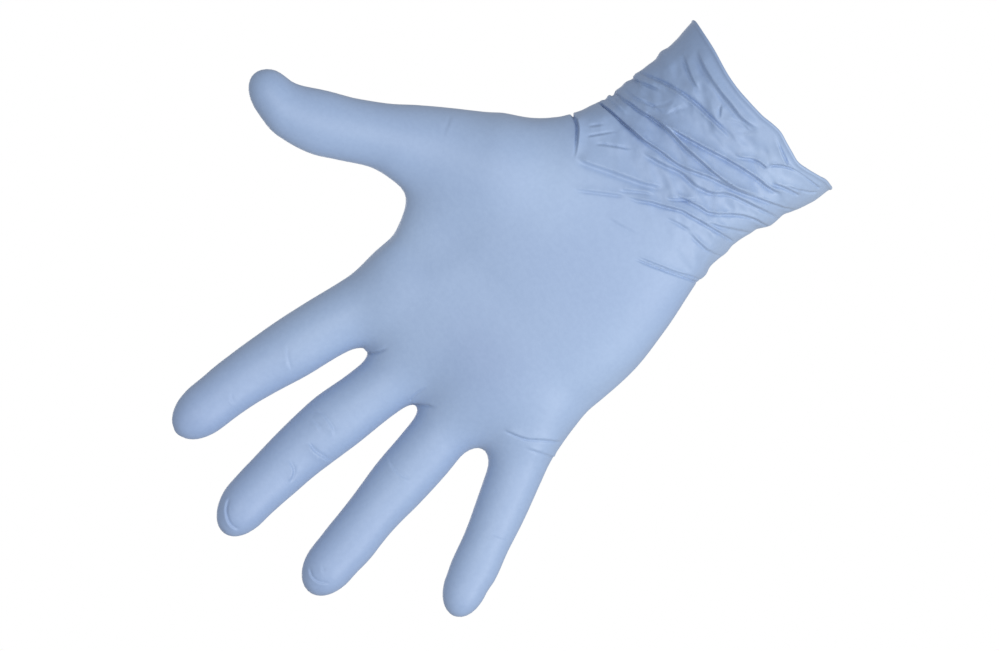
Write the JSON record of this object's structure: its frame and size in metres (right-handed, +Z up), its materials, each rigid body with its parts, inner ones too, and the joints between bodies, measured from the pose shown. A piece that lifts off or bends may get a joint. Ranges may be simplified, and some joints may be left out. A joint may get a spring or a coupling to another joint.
{
  "type": "milking glove",
  "caption": "Thin light-blue nitrile milking glove for a right hand, in its worn shape with spread fingers, a loose folded cuff and a rolled rim.",
  "frame": {"origin": "middle of the cuff's opening, level with the two corners of the rim", "axes": "+Z up from the opening to the tip of the middle finger, +X toward the thumb, +Y from the palm to the back of the hand"},
  "size_m": [0.1915, 0.0502, 0.24],
  "materials": {
    "nitrile_film": "satin"
  },
  "bodies": {
    "root": {"glove": "nitrile_film"}
  },
  "joints": []
}
